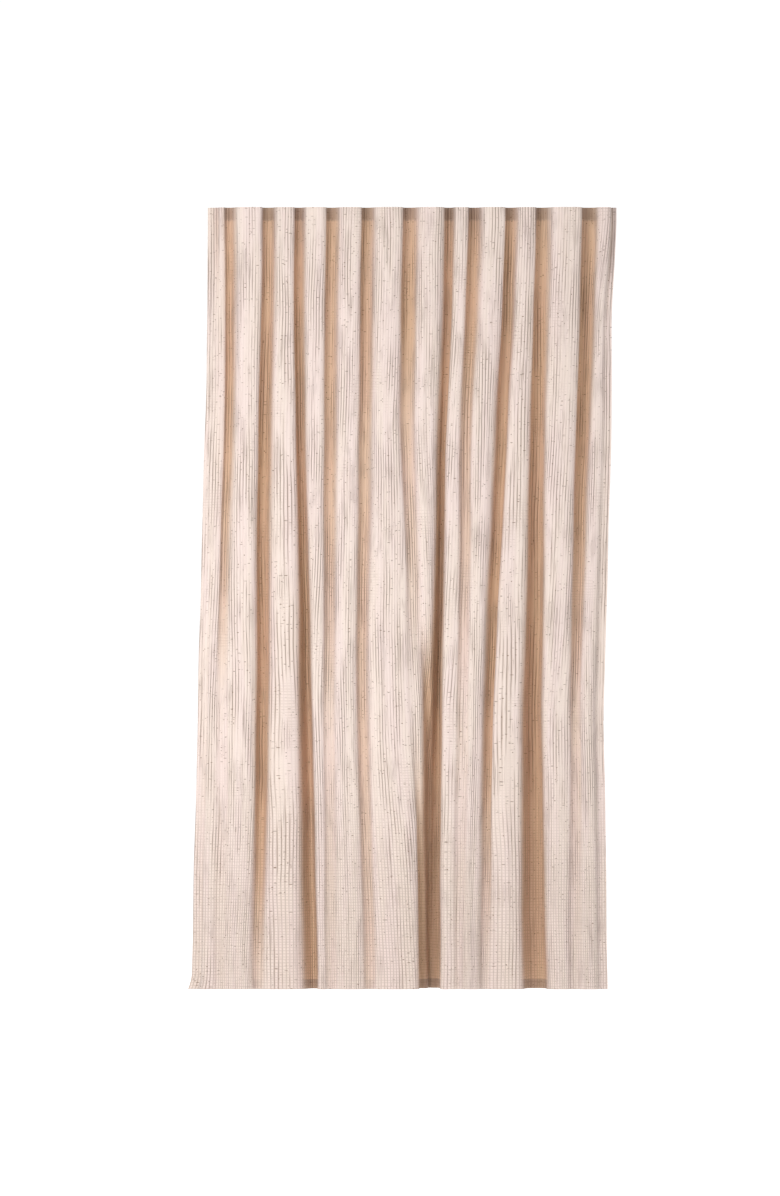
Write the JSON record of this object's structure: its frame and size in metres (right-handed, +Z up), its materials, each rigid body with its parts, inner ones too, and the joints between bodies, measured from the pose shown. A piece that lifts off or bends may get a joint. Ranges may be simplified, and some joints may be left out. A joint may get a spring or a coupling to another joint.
{
  "type": "fabric curtain panel",
  "caption": "Light crinkled fabric curtain panel in soft folds, hung from tape hooks that slide along a track, so the panel gathers towards its fixed end.",
  "frame": {"origin": "middle of the fixed hook's crook, at the wall end of the panel, 20 mm below the top edge", "axes": "+Z up, +X along the track away from the leading edge, front of the curtain towards -Y"},
  "size_m": [1.36, 0.1219, 2.5],
  "materials": {
    "curtain_cloth": "crinkled double cotton, cream with a pink cast, small brown slubs",
    "heading_tape": "woven cotton tape, off-white",
    "draw_cord": "twisted cord, off-white",
    "sewing_thread": "matching polyester thread",
    "hook_plastic": "moulded white nylon",
    "label": "blank satin label"
  },
  "bodies": {
    "wall_end": {"hook_13": "hook_plastic", "tape_pocket_13": "heading_tape", "cloth_fold_13": "curtain_cloth", "fixed_side_hem": "curtain_cloth", "fixed_hem_thread": "sewing_thread", "care_label": "label", "header_hem": "curtain_cloth", "bottom_hem": "curtain_cloth", "bottom_hem_thread": "sewing_thread", "heading_tape": "heading_tape", "tape_thread_upper": "sewing_thread", "tape_thread_lower": "sewing_thread", "draw_cord_upper": "draw_cord", "draw_cord_lower": "draw_cord", "cord_knot_upper_fixed": "draw_cord", "cord_knot_lower_fixed": "draw_cord"},
    "leading_end": {"hook_01": "hook_plastic", "tape_pocket_01": "heading_tape", "cloth_fold_01": "curtain_cloth", "leading_side_hem": "curtain_cloth", "leading_hem_thread": "sewing_thread", "cord_knot_upper_leading": "draw_cord", "cord_knot_lower_leading": "draw_cord"},
    "fold_02": {"hook_02": "hook_plastic", "tape_pocket_02": "heading_tape", "cloth_fold_02": "curtain_cloth"},
    "fold_03": {"hook_03": "hook_plastic", "tape_pocket_03": "heading_tape", "cloth_fold_03": "curtain_cloth"},
    "fold_04": {"hook_04": "hook_plastic", "tape_pocket_04": "heading_tape", "cloth_fold_04": "curtain_cloth"},
    "fold_05": {"hook_05": "hook_plastic", "tape_pocket_05": "heading_tape", "cloth_fold_05": "curtain_cloth"},
    "fold_06": {"hook_06": "hook_plastic", "tape_pocket_06": "heading_tape", "cloth_fold_06": "curtain_cloth"},
    "fold_07": {"hook_07": "hook_plastic", "tape_pocket_07": "heading_tape", "cloth_fold_07": "curtain_cloth"},
    "fold_08": {"hook_08": "hook_plastic", "tape_pocket_08": "heading_tape", "cloth_fold_08": "curtain_cloth"},
    "fold_09": {"hook_09": "hook_plastic", "tape_pocket_09": "heading_tape", "cloth_fold_09": "curtain_cloth"},
    "fold_10": {"hook_10": "hook_plastic", "tape_pocket_10": "heading_tape", "cloth_fold_10": "curtain_cloth"},
    "fold_11": {"hook_11": "hook_plastic", "tape_pocket_11": "heading_tape", "cloth_fold_11": "curtain_cloth"},
    "fold_12": {"hook_12": "hook_plastic", "tape_pocket_12": "heading_tape", "cloth_fold_12": "curtain_cloth"}
  },
  "joints": [
    {"name": "draw", "type": "slide", "parent": "wall_end", "child": "leading_end", "axis": [1, 0, 0], "range_m": [0, 0.843], "deforming": ["cloth_fold_13", "fixed_side_hem", "fixed_hem_thread", "header_hem", "bottom_hem", "bottom_hem_thread", "heading_tape", "tape_thread_upper", "tape_thread_lower", "draw_cord_upper", "draw_cord_lower", "cloth_fold_01", "leading_side_hem", "leading_hem_thread"]},
    {"name": "hook_02_slide", "type": "slide", "parent": "wall_end", "child": "fold_02", "axis": [1, 0, 0], "range_m": [0, 0.8094], "deforming": ["cloth_fold_02"]},
    {"name": "hook_03_slide", "type": "slide", "parent": "wall_end", "child": "fold_03", "axis": [1, 0, 0], "range_m": [0, 0.7286], "deforming": ["cloth_fold_03"]},
    {"name": "hook_04_slide", "type": "slide", "parent": "wall_end", "child": "fold_04", "axis": [1, 0, 0], "range_m": [0, 0.6633], "deforming": ["cloth_fold_04"]},
    {"name": "hook_05_slide", "type": "slide", "parent": "wall_end", "child": "fold_05", "axis": [1, 0, 0], "range_m": [0, 0.5938], "deforming": ["cloth_fold_05"]},
    {"name": "hook_06_slide", "type": "slide", "parent": "wall_end", "child": "fold_06", "axis": [1, 0, 0], "range_m": [0, 0.5193], "deforming": ["cloth_fold_06"]},
    {"name": "hook_07_slide", "type": "slide", "parent": "wall_end", "child": "fold_07", "axis": [1, 0, 0], "range_m": [0, 0.4301], "deforming": ["cloth_fold_07"]},
    {"name": "hook_08_slide", "type": "slide", "parent": "wall_end", "child": "fold_08", "axis": [1, 0, 0], "range_m": [0, 0.3451], "deforming": ["cloth_fold_08"]},
    {"name": "hook_09_slide", "type": "slide", "parent": "wall_end", "child": "fold_09", "axis": [1, 0, 0], "range_m": [0, 0.2924], "deforming": ["cloth_fold_09"]},
    {"name": "hook_10_slide", "type": "slide", "parent": "wall_end", "child": "fold_10", "axis": [1, 0, 0], "range_m": [0, 0.2158], "deforming": ["cloth_fold_10"]},
    {"name": "hook_11_slide", "type": "slide", "parent": "wall_end", "child": "fold_11", "axis": [1, 0, 0], "range_m": [0, 0.1505], "deforming": ["cloth_fold_11"]},
    {"name": "hook_12_slide", "type": "slide", "parent": "wall_end", "child": "fold_12", "axis": [1, 0, 0], "range_m": [0, 0.0507], "deforming": ["cloth_fold_12"]}
  ],
  "couplings": [
    {"joint": "hook_02_slide", "follows": "draw", "ratio": 0.96},
    {"joint": "hook_03_slide", "follows": "draw", "ratio": 0.86417},
    {"joint": "hook_04_slide", "follows": "draw", "ratio": 0.78667},
    {"joint": "hook_05_slide", "follows": "draw", "ratio": 0.70417},
    {"joint": "hook_06_slide", "follows": "draw", "ratio": 0.61583},
    {"joint": "hook_07_slide", "follows": "draw", "ratio": 0.51},
    {"joint": "hook_08_slide", "follows": "draw", "ratio": 0.40917},
    {"joint": "hook_09_slide", "follows": "draw", "ratio": 0.34667},
    {"joint": "hook_10_slide", "follows": "draw", "ratio": 0.25583},
    {"joint": "hook_11_slide", "follows": "draw", "ratio": 0.17833},
    {"joint": "hook_12_slide", "follows": "draw", "ratio": 0.06}
  ]
}
